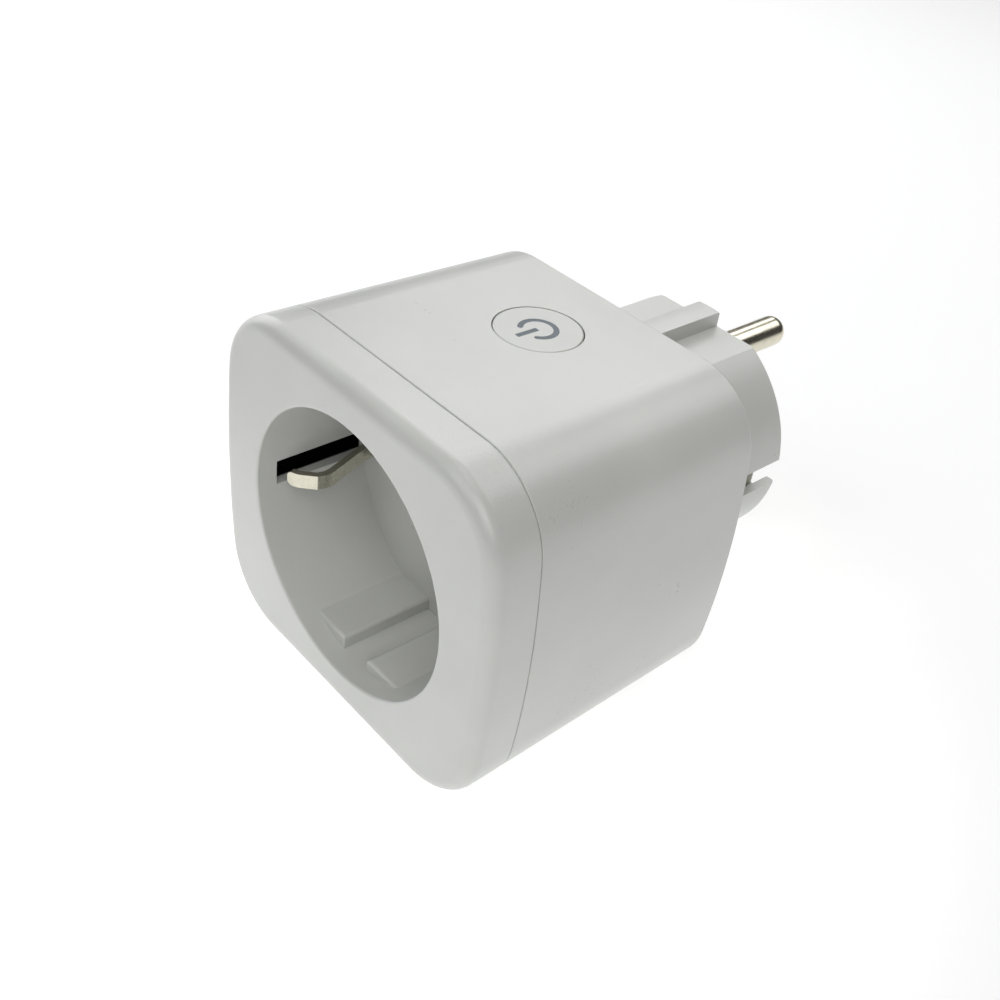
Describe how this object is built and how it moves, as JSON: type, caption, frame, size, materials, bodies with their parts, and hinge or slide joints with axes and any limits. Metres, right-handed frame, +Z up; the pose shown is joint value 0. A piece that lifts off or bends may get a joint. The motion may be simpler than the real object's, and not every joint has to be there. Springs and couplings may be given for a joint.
{
  "type": "smart plug",
  "caption": "Boxy switched mains adapter: round recessed earthed socket in front, power button on top, round earthed plug with parallel pins behind, circuit boards and contacts inside.",
  "frame": {"origin": "centre of the socket mouth, in the plane of the front face", "axes": "+X to the right seen from the front, +Y into the wall, along the plug pins, +Z up, towards the power button"},
  "size_m": [0.0568, 0.0841, 0.0504],
  "materials": {
    "shell_plastic": "satin light grey moulded plastic",
    "white_plastic": "matt white moulded plastic",
    "symbol_grey": "blue-grey translucent inlay",
    "clear_plastic": "frosted light guide",
    "nickel": "bright nickel plate on brass",
    "contact_bronze": "bare phosphor bronze",
    "screw_steel": "zinc-plated steel",
    "board_green": "solder-resist green glass-fibre board",
    "component_black": "black moulded component case",
    "film_yellow": "yellow moulded film capacitor case",
    "can_aluminium": "drawn aluminium can",
    "choke_brown": "enamelled copper winding under varnish",
    "varistor_blue": "blue epoxy coating",
    "fuse_ceramic": "white ceramic tube with plated caps"
  },
  "bodies": {
    "case": {"front_cap": "shell_plastic", "socket_floor": "shell_plastic", "housing": "shell_plastic", "plug_base": "shell_plastic", "shutter_frame": "white_plastic", "contact_carrier": "white_plastic", "pin_clamp": "white_plastic", "status_led": "clear_plastic", "plug_pin_live": "nickel", "plug_pin_neutral": "nickel", "rear_contact_left": "nickel", "rear_contact_right": "nickel", "earth_strap": "nickel", "contact_live": "contact_bronze", "contact_neutral": "contact_bronze", "busbar_live": "contact_bronze", "busbar_neutral": "contact_bronze", "radio_aerial": "contact_bronze", "housing_screws": "screw_steel", "clamp_screw": "screw_steel", "shutter_spring": "screw_steel", "radio_shield": "screw_steel", "control_board": "board_green", "relay_board": "board_green", "supply_board": "board_green", "radio_module": "board_green", "tact_switch": "component_black", "relay": "component_black", "film_capacitor": "film_yellow", "storage_capacitor": "can_aluminium", "choke": "choke_brown", "varistor": "varistor_blue", "fuse": "fuse_ceramic"},
    "button": {"power_button": "shell_plastic", "power_symbol": "symbol_grey", "light_guide": "clear_plastic"},
    "plunger": {"tact_plunger": "component_black"},
    "shutter": {"shutter": "white_plastic"},
    "clip_left": {"earth_clip_left": "nickel"},
    "clip_right": {"earth_clip_right": "nickel"}
  },
  "joints": [
    {"name": "button_press", "type": "slide", "parent": "case", "child": "button", "axis": [0, -0.0216, -0.9998], "range_m": [0, 0.0004], "stiffness_N_per_m": 1000},
    {"name": "plunger_press", "type": "slide", "parent": "case", "child": "plunger", "axis": [0, 0, -1], "range_m": [0, 0.0004]},
    {"name": "shutter_slide", "type": "slide", "parent": "case", "child": "shutter", "axis": [1, 0, 0], "range_m": [0, 0.0062], "stiffness_N_per_m": 150, "deforming": ["shutter_spring"]},
    {"name": "clip_left_flex", "type": "hinge", "parent": "case", "child": "clip_left", "pos_m": [-0.01776, 0.02118, 0], "axis": [0, 0, -1], "range_deg": [0, 8], "stiffness_Nm_per_rad": 0.75},
    {"name": "clip_right_flex", "type": "hinge", "parent": "case", "child": "clip_right", "pos_m": [0.01776, 0.02118, 0], "axis": [0, 0, 1], "range_deg": [0, 8], "stiffness_Nm_per_rad": 0.75}
  ],
  "couplings": [
    {"joint": "plunger_press", "follows": "button_press", "ratio": 1}
  ]
}
